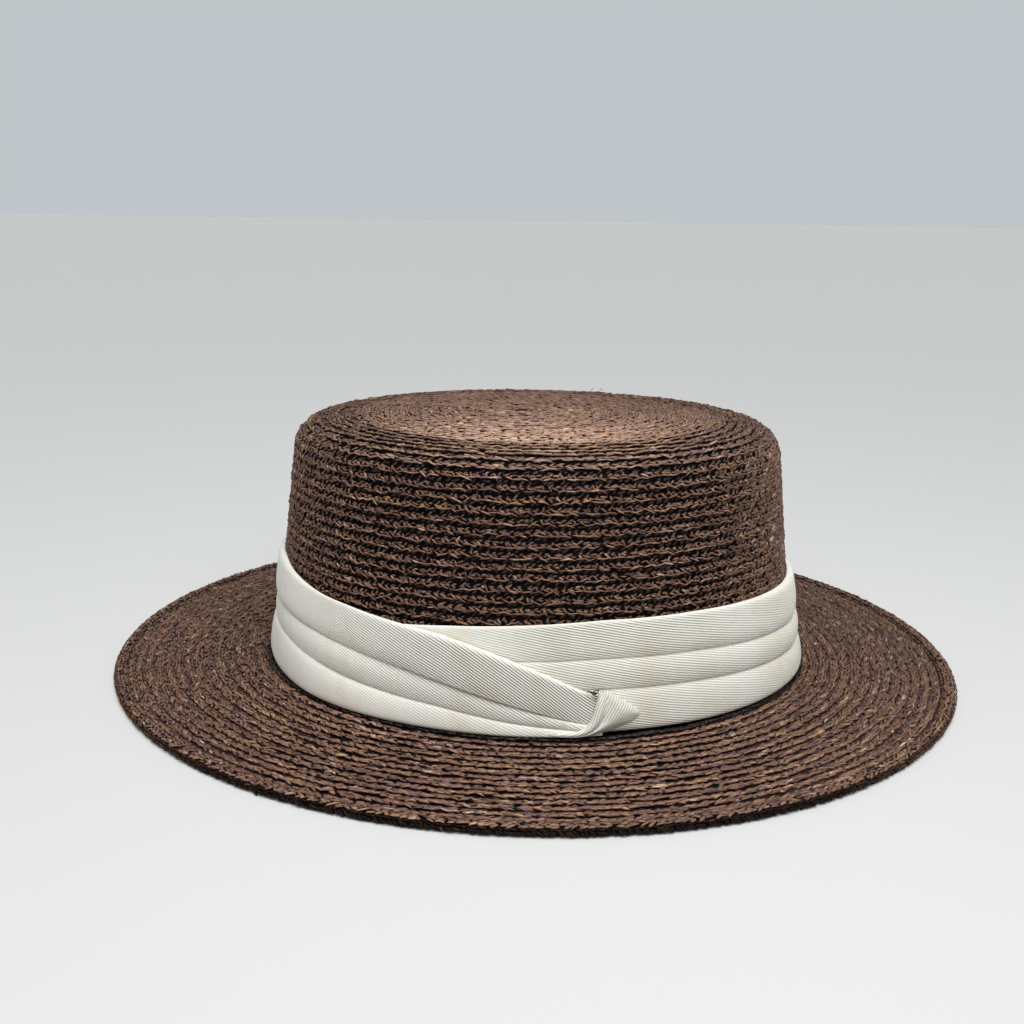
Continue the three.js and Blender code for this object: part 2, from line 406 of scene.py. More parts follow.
def strawLeaf():
    # one visible stretch of a straw: a flat spindle, 1 long, 1 wide and 1 thick, its
    # ends bent down to where they pass under the next
    leaf = bmesh.new()
    bmesh.ops.create_uvsphere(leaf, u_segments=leafShape["sides"], v_segments=3,
                              radius=0.5)
    bmesh.ops.rotate(leaf, cent=(0, 0, 0), matrix=Matrix.Rotation(math.pi / 2, 3, "Y"),
                     verts=leaf.verts)
    for vert in leaf.verts:
        if abs(vert.co.x) < leafShape["tip"]:
            vert.co.x *= leafShape["length"]
            vert.co.y *= leafShape["belly"]
            vert.co.z = vert.co.z * leafShape["belly"] + leafShape["rise"]
        else:
            vert.co.z -= leafShape["droop"]
    bmesh.ops.triangulate(leaf, faces=leaf.faces)
    bmesh.ops.recalc_face_normals(leaf, faces=leaf.faces)
    leaf.verts.ensure_lookup_table()
    places = np.array([vert.co for vert in leaf.verts])
    corners = np.array([[vert.index for vert in face.verts] for face in leaf.faces])
    leaf.free()
    return places, corners


leafPlaces, leafCorners = strawLeaf()


def smoothNoise(reach, length):
    # slow change along a braid, about 1 high, from a value every so many mm
    knots = random.normal(0, 1, int(reach.max() / length) + 3)
    return np.interp(reach / length, np.arange(len(knots)), knots)


def strawTones(reach, light):
    count = len(reach)
    shares = np.array([share for share, _ in strawPalette])
    colours = np.array([srgb(code) for _, code in strawPalette])
    tone = colours[random.choice(len(colours), count, p=shares / shares.sum())]
    gold = np.clip(smoothNoise(reach, drift["length"]) - drift["goldFrom"], 0, 1) * drift["goldShare"]
    tone = tone + (np.array(srgb(drift["gold"])) - tone) * gold[:, None]
    shade = np.exp(smoothNoise(reach, drift["length"]) * drift["tone"]
                   + random.normal(0, drift["straw"], count))
    return tone * shade[:, None] * light


# painted highlight on the top and shoulder, growing towards the front
def bleached(place, share):
    reach = (bleach["from"] - place[:, 1]) / (bleach["from"] - bleach["to"])
    width = 1 - (place[:, 0] / bleach["halfWidth"]) ** 2
    amount = np.clip(reach, 0, 1) * np.clip(width, 0, 1) * share
    change = np.array(srgb(bleach["highlit"])) / np.array(srgb(bleach["dyed"]))
    return change[None] ** amount[:, None]


footShade = {  # painted shadow: the braid close under the band is darkened, as no light reaches it there, least of all by the knot
    "side": 1.2,  # mm of brim beyond the cloth
    "front": 1.0,  # mm more at the front
    "knot": 1.8,  # mm more by the knot
    "knotAngle": 282.0,
    "knotSpread": 13.0,
    "fade": 1.2,  # mm
    "depth": 0.9,
}


def shadedFoot(angle, along):
    away = (np.degrees(angle) - footShade["knotAngle"] + 180) % 360 - 180
    reach = (bandReachAt(angle) + footShade["side"]
             + footShade["front"] * np.clip(-np.sin(angle), 0, 1)
             + footShade["knot"] * np.exp(-(away / footShade["knotSpread"]) ** 2))
    near = np.clip(0.5 + (reach - along) / footShade["fade"], 0, 1)
    return 1 - footShade["depth"] * near


def rowStray(amount):
    # how far a row strays at each share of a turn
    knots = random.normal(0, amount, rowWaver["knots"])
    knots[-1] = knots[0]
    return knots


def layStrand(line, rowStart, strand, climb, stray=None):
    # one line of straws in one turn of braid; the turn climbs by one row
    inset = np.interp(rowStart, line["along"], line["inset"])
    around = evenAngles(inset, 1, 0)[1]
    count = max(6, round(around / strand["spacing"]))
    angle, _ = evenAngles(inset, count, random.random())
    angle = angle + random.normal(0, strawStray["turn"], count) * 2 * math.pi / count
    turn = (angle - seam) / (2 * math.pi)
    along = rowStart + climb * (1 - turn)
    along = along + random.normal(0, strand.get("wander", strawStray["across"]), count)
    rise = np.zeros(count)
    if stray is not None:
        steps = np.linspace(0, 1, rowWaver["knots"])
        along = along + np.interp(turn, steps, stray[0])
        rise = np.interp(turn, steps, stray[1])
    along = np.maximum(along, strawStray["start"])
    order = np.arange(count)
    ok = along < line["length"]
    angle, along, order, rise = angle[ok], along[ok], order[ok], rise[ok]
    count = len(angle)
    place, withRow, across, out = ovalFrames(line, along, angle)
    swing = strand.get("swing", 0) * (order % 2 * 2 - 1)
    slant = np.radians(strand["slant"] + swing + random.normal(0, strand["loose"], count))[:, None]
    dive = np.radians(strand["dive"] + random.normal(0, strawStray["dive"], count))[:, None]
    tilt = np.radians(strand["tilt"] + random.normal(0, strawStray["tilt"], count))[:, None]
    lengthways = np.cos(slant) * withRow + np.sin(slant) * across
    sideways = np.cos(slant) * across - np.sin(slant) * withRow
    lengthways, up = (np.cos(dive) * lengthways + np.sin(dive) * out,
                      np.cos(dive) * out - np.sin(dive) * lengthways)
    sideways, up = (np.cos(tilt) * sideways + np.sin(tilt) * up,
                    np.cos(tilt) * up - np.sin(tilt) * sideways)
    size = np.stack([strand[key] * random.normal(1, strawStray["size"], count)
                     .clip(strawStray["least"], strawStray["most"])
                     for key in ("length", "width", "thick")], -1)
    # at the two ends of the oval the plait lies closer and fills its gaps: its straws are lifted, and
    # their painted light and shade changed by fillLight
    filled = np.clip((np.abs(np.cos(angle)) - closing["from"]) / closing["over"], 0, 1)
    lift = strand["lift"] + filled * strand.get("fillLift", 0)
    place = place + out * (lift + rise + random.normal(0, strawStray["lift"], count))[:, None]
    # painted light and shade: each line's light darkens tucked straws and brightens proud ones, and
    # frontLight makes them brighter towards the front and darker towards the back
    light = strand["light"] + filled * strand.get("fillLight", 0)
    light = light * (1 - strand.get("frontLight", 0) * np.sin(angle))
    tone = strawTones((angle - seam) / (2 * math.pi) * around, light[:, None])
    tone = tone + (tone.mean(axis=0) - tone) * strand.get("even", 0)
    tone = tone * bleached(place, strand.get("bleached", 0))
    if strand.get("footed"):
        tone = tone * shadedFoot(angle, along)[:, None]
    return {"place": place, "size": size, "axes": np.stack([lengthways, sideways, up], 1),
            "angle": angle, "z": place[:, 2], "tone": tone}


def placePiece(name, mesh, material):
    mesh.materials.append(material)
    piece = newObject(name, mesh)
    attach(piece, "root")
    return piece


def strawPiece(name, strands, material=straw):
    # all the straws of one part, as one mesh
    keep = {key: np.concatenate([strand[key] for strand in strands])
            for key in ("place", "size", "axes", "tone")}
    count = len(keep["place"])
    local = leafPlaces[None] * keep["size"][:, None]
    places = keep["place"][:, None] + np.einsum("nvk,nkj->nvj", local, keep["axes"])
    corners = leafCorners[None] + np.arange(count)[:, None, None] * len(leafPlaces)
    mesh = bpy.data.meshes.new(name)
    mesh.vertices.add(count * len(leafPlaces))
    mesh.vertices.foreach_set("co", (places * mm).ravel())
    faces = corners.reshape(-1, 3)
    mesh.loops.add(faces.size)
    mesh.loops.foreach_set("vertex_index", faces.ravel())
    mesh.polygons.add(len(faces))
    mesh.polygons.foreach_set("loop_start", np.arange(0, faces.size, 3))
    mesh.update(calc_edges=True)
    mesh.polygons.foreach_set("use_smooth", np.ones(len(faces), bool))
    tone = np.ones((count, len(leafPlaces), 4))
    tone[:, :, :3] = keep["tone"][:, None]
    mesh.attributes.new("strawToneAndShade", "FLOAT_COLOR", "POINT").data.foreach_set("color", tone.ravel())
    shift = random.random((count, 1, 2)) * strawLook["apart"]
    uv = (local[:, :, :2] * mm + shift).reshape(-1, 2)[faces.ravel()]
    mesh.uv_layers.new(name="strawUv").data.foreach_set("uv", uv.ravel())
    mesh.validate()
    placePiece(name, mesh, material)
    print(name, len(faces), "triangles")


# Shells

def sweepRings(body, rings, capped):
    # a skin over rings of points, its two ends closed or joined to each other
    made = bmesh.ops.create_circle(body, segments=len(rings[0]), radius=1.0)
    first = sorted(made["verts"], key=lambda vert: math.atan2(vert.co.y, vert.co.x) % (2 * math.pi))

    def place(verts, ring):
        for vert, point in zip(verts, ring):
            vert.co = Vector(point) * mm

    loop = first
    place(loop, rings[0])
    if capped:
        bmesh.ops.contextual_create(body, geom=loop)
    for ring in rings[1:]:
        edges = [body.edges.get((a, b)) for a, b in zip(loop, loop[1:] + loop[:1])]
        grown = bmesh.ops.extrude_edge_only(body, edges=edges)["geom"]
        fresh = {v for v in grown if isinstance(v, bmesh.types.BMVert)}
        partner = {}
        for vert in fresh:
            for edge in vert.link_edges:
                other = edge.other_vert(vert)
                if other not in fresh:
                    partner[other] = vert
        loop = [partner[vert] for vert in loop]
        place(loop, ring)
    if capped:
        bmesh.ops.contextual_create(body, geom=loop)
    else:
        edges = [body.edges.get((a, b)) for a, b in zip(loop, loop[1:] + loop[:1])]
        edges += [body.edges.get((a, b)) for a, b in zip(first, first[1:] + first[:1])]
        bmesh.ops.bridge_loops(body, edges=edges)


def ovalShell(name, rings, segments, capped):
    # a wall swept round the oval, ring by ring, from (inset, height) pairs
    body = bmesh.new()
    angle = np.arange(segments) / segments * 2 * math.pi
    sweepRings(body, [ovalPoints(angle, inset, z) for inset, z in rings], capped)
    bmesh.ops.recalc_face_normals(body, faces=body.faces)
    return finishPiece(name, body, shadedShell)


threadShape = {"sides": 6, "end": 0.25, "fullness": 0.4}  # of threads and split ends


def sweepThread(body, path, radius):
    # a thin round thread along a path of points, its ends drawn to blunt points
    path = np.array(path, float)
    heading = np.gradient(path, axis=0)
    heading /= np.linalg.norm(heading, axis=1, keepdims=True)
    aside = np.cross(heading, [0.31, 0.17, 0.94])
    aside /= np.linalg.norm(aside, axis=1, keepdims=True)
    above = np.cross(heading, aside)
    turn = np.arange(threadShape["sides"]) / threadShape["sides"] * 2 * math.pi
    taper = np.linspace(threadShape["end"], math.pi - threadShape["end"], len(path))
    girth = radius * np.sin(taper) ** threadShape["fullness"]
    rings = [point + g * (np.cos(turn)[:, None] * a + np.sin(turn)[:, None] * b)
             for point, g, a, b in zip(path, girth, aside, above)]
    sweepRings(body, rings, True)


def finishPiece(name, body, material):
    mesh = bpy.data.meshes.new(name)
    for face in body.faces:
        face.smooth = True
    body.to_mesh(mesh)
    body.free()
    return placePiece(name, mesh, material)


# One lapped row of braid: share of its width, share of how far it stands proud
rowSteps = ((0.0, 0.0), (0.4, 0.2), (0.8, 0.8), (0.93, 1.0), (0.985, 0.6))


def steppedRings(line, start, end, proud, sink):
    # rings of lapped rows from start to end along a line, sunk under the surface
    rows = max(1, round((end - start) / hat["rowPitch"]))
    rings = []
    for k in range(rows):
        for share, lift in rowSteps:
            along = np.array([start + (end - start) * (k + share) / rows])
            place, _, _, out = ovalFrames(line, along, np.array([0.0]))
            point = place[0] + out[0] * (lift * proud - sink)
            rings.append((hat["halfLength"] - point[0], point[2]))
    return rings


crownShellSizes = {"segments": 90, "start": 0.4, "sink": 1.5, "proud": 0.85, "inside": 1.9,
                   "insideSink": 0.15, "insideProud": 0.35}


def makeCrownShell():
    outer = crownLine(0.0)
    inner = crownLine(crownShellSizes["inside"])
    outside = steppedRings(outer, crownShellSizes["start"], outer["length"],
                           crownShellSizes["proud"], crownShellSizes["sink"])
    outside.append((crownShellSizes["sink"], hat["crownFoot"]))
    inside = steppedRings(inner, crownShellSizes["start"], inner["length"],
                          crownShellSizes["insideProud"], crownShellSizes["insideSink"])
    inside = [(inset, max(z, hat["crownFoot"])) for inset, z in inside]
    inside.append((crownShellSizes["inside"] + 0.2, hat["crownFoot"]))
    piece = ovalShell("crown_body", outside + inside[::-1], crownShellSizes["segments"], True)
    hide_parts("crown")


brimShellSizes = {"segments": 144, "top": 1.3, "bottom": 1.0, "proud": 0.7,
                  "inside": 2.0}


def brimLine(height):
    return lineOf([(0.5, height), (-(hat["brimWidth"] - hat["edgeRow"]), height)])


def makeBrimShell():
    top = steppedRings(brimLine(brimShellSizes["top"]), 0.0, brimLine(0)["length"],
                       brimShellSizes["proud"], 0.0)
    edge, bottom, inside = -hat["brimWidth"], brimShellSizes["bottom"], brimShellSizes["inside"]
    rim = [(edge + 4.4, 2.1), (edge + 1.8, 2.2), (edge + 1.1, 1.7), (edge + 1.0, 1.1),
           (edge + 1.4, bottom), (edge + 30, bottom), (inside, bottom), (inside, 1.2),
           (inside, brimShellSizes["top"] + 0.2)]
    piece = ovalShell("brim_body", top + rim, brimShellSizes["segments"], False)
    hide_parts("brim")


# The visible lines of the plait, from a row's tucked inner side to its proud outer
# edge. across is the share of the row; sizes in mm; angles in degrees; light is painted
# light and shade, dark for tucked lines in the shade of the row above, bright for proud edges.
plaitColumns = ("across", "length", "width", "thick", "spacing", "light", "slant", "loose", "dive",
                "tilt", "lift")


def plaitOf(lines, **shared):
    # each line of straws has its columns, what all the lines share and what it has alone
    return [{**dict(zip(plaitColumns, line)), **shared, **own} for *line, own in lines]


crownPlait = plaitOf([
    (0.16, 3.2, 1.4, 0.6, 2.6, 0.15, -40, 14, 5, 10, -1.2, {"fillLift": 1.0, "fillLight": 0.85}),
    (0.58, 2.6, 0.78, 0.7, 2.3, 0.72, -30, 21, 8, 25, -0.55, {"fillLift": 0.3, "fillLight": 0.3}),
    (0.73, 2.8, 0.8, 0.8, 2.2, 0.98, 28, 21, 10, 26, -0.25, {"fillLight": 0.05}),
    (0.93, 4.2, 0.5, 0.6, 2.4, 1.35, 2, 9, 4, 22, 0.05,
     {"swing": 10, "wander": 0.14, "fillLift": -0.2, "fillLight": -0.35}),
])
topPlait = plaitOf([
    (0.25, 3.8, 1.6, 0.6, 2.6, 0.92, -14, 8, 3, 3, -0.24, {}),
    (0.62, 4.2, 1.4, 0.6, 2.6, 0.98, 12, 8, 3, 4, -0.22, {}),
    (0.9, 4.6, 1.0, 0.6, 2.5, 1.0, 3, 6, 3, 4, -0.16, {"swing": 6}),
], bleached=0.95, even=0.4)
shoulderPlait = plaitOf([
    (0.3, 3.6, 1.2, 0.6, 2.6, 0.34, -22, 10, 4, 8, -0.85,
     {"fillLift": 0.45, "fillLight": 0.4, "bleached": 0.5}),
    (0.62, 3.6, 1.1, 0.7, 2.5, 0.76, 16, 13, 5, 12, -0.35, {}),
    (0.9, 4.4, 0.75, 0.7, 2.4, 0.88, 3, 8, 4, 12, 0.0,
     {"swing": 9, "wander": 0.12, "fillLight": -0.1}),
], bleached=0.6)
brimPlait = plaitOf([
    (0.04, 4.0, 1.2, 0.5, 3.4, 0.14, 4, 10, 0, 0, -0.85, {"fillLift": 0.4, "fillLight": 0.35}),
    (0.3, 4.2, 1.25, 0.7, 2.7, 0.74, -10, 12, 5, 12, -0.5, {"wander": 0.12, "fillLift": 0.25}),
    (0.6, 4.8, 1.3, 0.7, 2.5, 0.9, 10, 12, 5, 8, -0.12, {"wander": 0.14}),
    (0.86, 4.2, 0.95, 0.8, 2.5, 1.0, 10, 10, 5, 0, 0.0,
     {"swing": 7, "wander": 0.14, "fillLift": -0.1, "fillLight": -0.1}),
], frontLight=0.25, footed=True)


def plaitRows(line, start, end, plait, keep=None):
    rows = max(1, round((end - start) / hat["rowPitch"]))
    pitch = (end - start) / rows
    strands = []
    for k in range(rows):
        stray = (rowStray(rowWaver["across"]), rowStray(rowWaver["lift"]))
        for strand in plait:
            rowStart = start + pitch * (k + strand["across"] - 0.5)
            laid = layStrand(line, rowStart, strand, pitch, stray)
            if keep is not None:
                shown = keep(laid)
                laid = {key: value[shown] for key, value in laid.items()}
            strands.append(laid)
    return strands


crownRows = {
    "phase": -0.4,  # mm
    "flat": 15,  # rows of each plait, from the middle of the top down
    "round": 6,
    "upper": 5,
    "lower": 10,
    "tucked": 3.0,  # mm that the straws go on behind the band
}


def makeCrownStraws():
    line = crownLine(0.0)
    ends = [crownRows["phase"]]
    for part in ("flat", "round", "upper", "lower"):
        ends.append(ends[-1] + crownRows[part] * hat["rowPitch"])

    def aboveBand(laid):
        return laid["z"] > bandTopAt(laid["angle"]) - crownRows["tucked"]

    strawPiece("crown_top_straws", plaitRows(line, ends[0], ends[1], topPlait))
    strawPiece("crown_shoulder_straws", plaitRows(line, ends[1], ends[2], shoulderPlait)
               + plaitRows(line, ends[2], ends[3], crownPlait))
    strawPiece("crown_side_straws", plaitRows(line, ends[3], ends[4], crownPlait, aboveBand))


brimRows = {"sunk": 0.3, "start": 0.3, "past": 0.4}  # mm


def makeBrimStraws():
    line = brimLine(hat["brimThickness"] - brimRows["sunk"])
    middle = line["length"] * 0.5
    strawPiece("brim_inner_straws", plaitRows(line, brimRows["start"], middle, brimPlait))
    strawPiece("brim_outer_straws",
               plaitRows(line, middle, line["length"] + brimRows["past"], brimPlait))


# The straws of the brim's last row, here with mm from its start in place of a share
edgePlait = plaitOf([
    (0.4, 3.6, 1.2, 0.5, 3.0, 0.3, 0, 10, 0, 0, -0.7, {"fillLight": 0.3}),
    (1.5, 3.6, 1.1, 0.7, 2.5, 0.8, -14, 14, 5, 0, -0.45, {"frontLight": 0.25}),
    (2.7, 3.6, 1.05, 0.7, 2.4, 0.9, 18, 14, 6, 0, -0.35, {"frontLight": 0.25}),
    (3.9, 3.4, 1.0, 0.7, 2.4, 0.9, -12, 14, 6, 0, -0.35, {"frontLight": 0.25}),
])
# the upright edge's straws are painted near black as the shade it stands in, less so at the oval's
# two ends
rimPlait = plaitOf([
    (5.0, 3.0, 0.8, 0.4, 2.0, 0.1, 10, 10, 2, 0, -0.5, {"fillLight": 0.5}),
    (6.4, 2.6, 0.9, 0.4, 1.5, 0.06, 24, 12, 2, 0, -0.35, {"fillLight": 0.5}),
    (8.2, 2.8, 1.0, 0.4, 1.8, 0.06, 20, 14, 2, 0, -0.4, {"fillLight": 0.2}),
])


def makeEdgeStraws():
    edge = -hat["brimWidth"]
    thick = hat["edgeThickness"]
    line = lineOf([(edge + 5.6, thick - 0.5), (edge + 4.0, thick), (edge + 1.6, thick),
                   (edge + 0.5, thick - 0.5), (edge, thick - 1.4), (edge, 1.2),
                   (edge + 0.6, 0.45), (edge + 2.0, 0.15), (edge + 6, 0.15)])
    strawPiece("brim_edge_straws",
               [layStrand(line, strand["across"], strand, 0.0) for strand in edgePlait])
    strawPiece("brim_rim_straws",
               [layStrand(line, strand["across"], strand, 0.0) for strand in rimPlait], shadedRimStraw)


underPlait = plaitOf([
    (0.3, 6.2, 1.8, 0.6, 5.4, 0.8, -16, 8, 1, 0, -0.75, {}),
    (0.75, 6.6, 1.9, 0.6, 5.4, 0.8, 11, 8, 1, 0, -0.75, {}),
])
underRows = {"fromEdge": 2.5, "height": 0.15, "inside": 1.0, "start": 0.6}  # mm


def makeUnderStraws():
    # the underside is walked inwards, so that its straws face the floor
    line = lineOf([(-(hat["brimWidth"] - underRows["fromEdge"]), underRows["height"]),
                   (underRows["inside"], underRows["height"])])
    strawPiece("brim_underside_straws",
               plaitRows(line, underRows["start"], line["length"], underPlait))


# Loose ends of straw that stand off the plait: angle, inset and height where each
# leaves it, how far it runs along, out and up, and how much it curls, in mm
looseEnds = [
    (72.6, 12.5, 91.3, 1.8, 0.2, 1.1, 0.4),
    (76.0, 14.0, 91.8, -1.4, 0.3, 0.7, 0.3),
    (263.0, -59.0, 1.6, 1.6, 1.1, -0.5, 0.4),
    (241.0, -58.8, 2.2, -1.5, 0.9, 0.3, 0.5),
    (24.0, -59.0, 2.6, 1.4, 0.8, 0.9, 0.4),
    (196.0, -52.0, 3.0, 2.2, 0.4, 0.9, 0.8),
    (213.0, -40.0, 2.6, 2.0, -0.5, 0.8, 0.9),
    (300.0, -21.0, 2.5, 1.8, 0.9, 0.7, 0.7),
    (248.0, 8.0, 70.0, 1.6, 0.8, 0.9, 0.5),
    (291.0, 6.5, 58.0, -1.4, 0.9, 0.7, 0.5),
]
looseEnd = {"radius": 0.13, "steps": 9, "sunkIn": 0.3, "sunkDown": 0.2, "colour": "#6b4e40",
            "roughness": 0.6}


def makeLooseEnds():
    # Split ends of the same straw, finer than the straws, so they read as dull hairs.
    material = plainMaterial("split straw end", looseEnd["colour"], looseEnd["roughness"])
    body = bmesh.new()
    for degrees, inset, z, along, out, up, curl in looseEnds:
        angle = np.array([math.radians(degrees)])
        root = ovalPoints(angle, inset, z)[0]
        tip = ovalPoints(angle, inset - 1.0, z)[0]
        outward = (tip - root) / np.linalg.norm(tip - root)
        onward = np.array([-outward[1], outward[0], 0.0])
        share = np.linspace(0, 1, looseEnd["steps"])[:, None]
        rise = up * share + curl * np.sin(share * math.pi) - looseEnd["sunkDown"]
        path = (root + onward * along * share + outward * (out * share - looseEnd["sunkIn"])
                + np.array([0, 0, 1]) * rise)
        sweepThread(body, path, looseEnd["radius"])
    bmesh.ops.recalc_face_normals(body, faces=body.faces)
    finishPiece("stray_straw_ends", body, material)


# The band, by angle round the crown. Heights are shares of its height above its
# foot. lift counts the layers of cloth beneath, topOut and lowOut are how far the top
# and the lowest pleat stand off the crown in mm, relief is how round the pleats are,
# slant the ribs' angle, and midIn how far the middle pleat is drawn in, in mm.
bandColumns = ("angle", "bottom", "lineTwo", "lineOne", "top", "lift", "topOut", "lowOut",
               "relief", "slant", "midIn")
bandTable = [
    (-117, 0.00, 0.30, 0.620, 0.860, 0.00, 1.2, 1.5, 0.1, 12, 0.0),
    (-104, 0.00, 0.34, 0.630, 0.920, 0.00, 1.2, 1.6, 0.1, 12, 0.0),
    (-90, 0.00, 0.38, 0.645, 0.965, 0.00, 1.3, 1.8, 0.4, 15, 0.0),
    (-75, 0.01, 0.395, 0.67, 1.010, 0.00, 1.5, 2.2, 0.8, 14, 0.0),
    (-54, 0.00, 0.37, 0.650, 1.005, 0.00, 1.9, 2.9, 1.0, 11, 0.0),
    (-18, -0.01, 0.28, 0.550, 0.950, 0.00, 3.3, 4.3, 1.0, 12, 0.0),
    (20, -0.01, 0.29, 0.560, 0.950, 0.00, 3.3, 4.3, 1.0, 9, 0.0),
    (90, 0.00, 0.32, 0.620, 0.980, 0.00, 1.8, 3.2, 1.0, 12, 0.0),
    (170, -0.01, 0.38, 0.680, 1.080, 0.00, 2.7, 2.8, 0.5, 15, 0.8),
    (200, -0.01, 0.38, 0.660, 1.080, 0.00, 2.7, 2.8, 0.5, 15, 0.8),
    (210, -0.01, 0.37, 0.635, 1.025, 0.25, 2.4, 2.8, 0.6, 15, 0.6),
    (224, -0.01, 0.32, 0.600, 0.970, 0.80, 1.6, 3.0, 0.8, 16, 0.2),
    (233, -0.01, 0.29, 0.570, 0.950, 1.00, 1.6, 2.8, 0.9, 15, 0.0),
    (247, -0.01, 0.235, 0.505, 0.893, 1.00, 2.2, 2.1, 0.8, 18, 0.6),
    (255, -0.01, 0.205, 0.438, 0.850, 1.00, 2.5, 1.9, 0.6, 17, 0.7),
    (262, -0.01, 0.157, 0.357, 0.765, 1.00, 2.6, 1.8, 0.5, 17, 0.7),
    (268, -0.01, 0.115, 0.280, 0.672, 1.00, 2.5, 1.8, 0.5, 17, 0.6),
    (274, -0.01, 0.08, 0.200, 0.560, 0.90, 2.2, 1.8, 0.5, 17, 0.4),
    (281, -0.01, 0.04, 0.105, 0.402, 0.70, 1.7, 2.0, 0.5, 16, 0.0),
    (285, -0.01, 0.03, 0.070, 0.335, 0.45, 1.6, 1.8, 0.4, 19, 0.0),
]
bandSizes = {
    "stations": 360,
    "cloth": 0.32,  # mm
    "layer": 1.8,  # mm of folded cloth in one turn
    "relief": 1.0,  # mm that a pleat swells
    "crease": 0.4,  # mm between the two edges of a crease and its line
    "pressed": 0.8,  # mm beside a crease over which the ribs are pressed flat
    "hem": 1.1,  # mm of the upper edge where the ribs roll over and vanish
    "tuck": 2.4,  # mm of cloth hidden behind each fold
    "clear": 0.35,  # mm from the bare crown to the cloth
    "between": 0.4,  # mm between the two hidden layers of a fold
}
bandSmoothing = {"past": 6, "steps": 1200, "reach": 9, "width": 4.0}  # of the table, by angle

# Ribs by angle: how crisp they stand, how closely they are set, and how crisp they
# still are on the lowest pleat, as a share of the top one
bandRibs = [
    (-117, 0.25, 0.965, 0.8),
    (-100, 0.30, 0.965, 0.8),
    (-85, 0.75, 0.965, 0.8),
    (-60, 0.75, 0.965, 0.8),
    (-45, 0.60, 0.965, 0.8),
    (-30, 0.40, 0.965, 0.8),
    (-12, 0.12, 0.965, 0.8),
    (20, 0.12, 0.965, 0.8),
    (60, 0.45, 0.965, 0.8),
    (130, 0.45, 0.965, 0.8),
    (180, 0.12, 0.965, 0.8),
    (200, 0.12, 0.965, 0.8),
    (215, 0.20, 0.95, 0.8),
    (228, 0.42, 0.94, 0.35),
    (240, 0.66, 0.92, 0.35),
    (251, 0.90, 0.88, 0.35),
    (262, 1.00, 0.84, 0.35),
    (285, 1.00, 0.84, 0.35),
]


def bandAt(angle):
    table = np.array(bandTable)
    past, reach = bandSmoothing["past"], bandSmoothing["reach"]
    dense = np.linspace(table[0, 0] - past, table[-1, 0] + past, bandSmoothing["steps"])
    weights = np.exp(-0.5 * (np.arange(-reach, reach + 1) / bandSmoothing["width"]) ** 2)
    weights /= weights.sum()
    row = {}
    for k, name in enumerate(bandColumns[1:], 1):
        raw = np.interp(dense, table[:, 0], table[:, k])
        smooth = np.convolve(np.pad(raw, reach, mode="edge"), weights, mode="valid")
        row[name] = np.interp(angle, dense, smooth)
    return row


def bandLaps(angle):
    # the cloth at an angle in radians: its first turn, its second, and where it has one
    first = bandTable[0][0]
    degrees = (np.degrees(angle) - first) % 360 + first
    return bandAt(degrees), bandAt(degrees + 360), degrees + 360 <= bandTable[-1][0]


def bandTopAt(angle):
    # top of the cloth, in mm above the floor
    one, two, lapped = bandLaps(angle)
    top = np.where(lapped, np.maximum(one["top"], two["top"]), one["top"])
    return hat["bandFoot"] + hat["bandHeight"] * top


def bandReachAt(angle):
    # how far the foot of the cloth stands off the crown, in mm
    one, two, lapped = bandLaps(angle)
    return np.where(lapped, two["lowOut"] + two["lift"] * bandSizes["layer"], one["lowOut"])


def chaikin(points, times):
    for _ in range(times):
        cut = np.empty((2 * len(points) - 2, points.shape[1]))
        cut[0::2] = 0.75 * points[:-1] + 0.25 * points[1:]
        cut[1::2] = 0.25 * points[:-1] + 0.75 * points[1:]
        points = np.vstack([points[:1], cut, points[-1:]])
    return points


def bandPath(row):
    # the cloth's section, from its hidden lower hem to its hidden upper one: distance
    # off the crown and height
    foot, tall = hat["bandFoot"], hat["bandHeight"]
    under = row["lift"] * bandSizes["layer"]
    back = bandSizes["clear"] + under
    between = back + bandSizes["between"]
    topOut, lowOut = row["topOut"] + under, row["lowOut"] + under
    midOut = 0.7 * topOut + 0.3 * lowOut - row["midIn"]
    swell = bandSizes["relief"] * row["relief"]
    bottom, two, one, top = (foot + tall * row[key] + 0.1
                             for key in ("bottom", "lineTwo", "lineOne", "top"))
    low, mid, high = two - bottom, one - two, top - one
    tuckTwo = min(bandSizes["tuck"], mid * 0.5)
    tuckOne = min(bandSizes["tuck"], high * 0.4)
    open = bandSizes["crease"]
    hem = [
        (back, bottom + min(3.0, low * 0.6)),
        (back, bottom + 0.2),
        (lowOut - 0.9, bottom),
    ]
    lowestPleat = [
        (lowOut - 0.15, bottom + low * 0.1),
        (lowOut, bottom + low * 0.3),
        (lowOut - swell * 0.25, bottom + low * 0.6),
        (lowOut - swell * 1.1, bottom + low * 0.87),
        (max(lowOut - swell * 2.1, back + 0.1), two - open),
        (back, two + tuckTwo * 0.5),
        (back, two + tuckTwo),
    ]
    middlePleat = [
        (between, two + tuckTwo),
        (between, two + tuckTwo * 0.4),
        (max(midOut - swell * 1.3, between), two + open * 0.5),
        (midOut - swell * 0.55, two + open),
        (midOut, two + mid * 0.3),
        (midOut, two + mid * 0.6),
        (midOut - swell * 0.9, two + mid * 0.88),
        (max(midOut - swell * 2.0, back + 0.1), one - open),
        (back, one + tuckOne * 0.5),
        (back, one + tuckOne),
    ]
    topPleat = [
        (between, one + tuckOne),
        (between, one + tuckOne * 0.4),
        (max(topOut - swell * 1.2, between), one + open * 0.5),
        (topOut - swell * 0.5, one + open),
        (topOut + swell * 0.1, one + high * 0.25),
        (topOut - swell * 0.15, one + high * 0.6),
        (max(topOut - swell * 0.6, between + 0.2), top - 0.6),
        (between, top),
        (back, top - 0.6),
        (back, top - min(3.0, high * 0.4)),
    ]
    return chaikin(np.array(hem + lowestPleat + middlePleat + topPleat), 2)


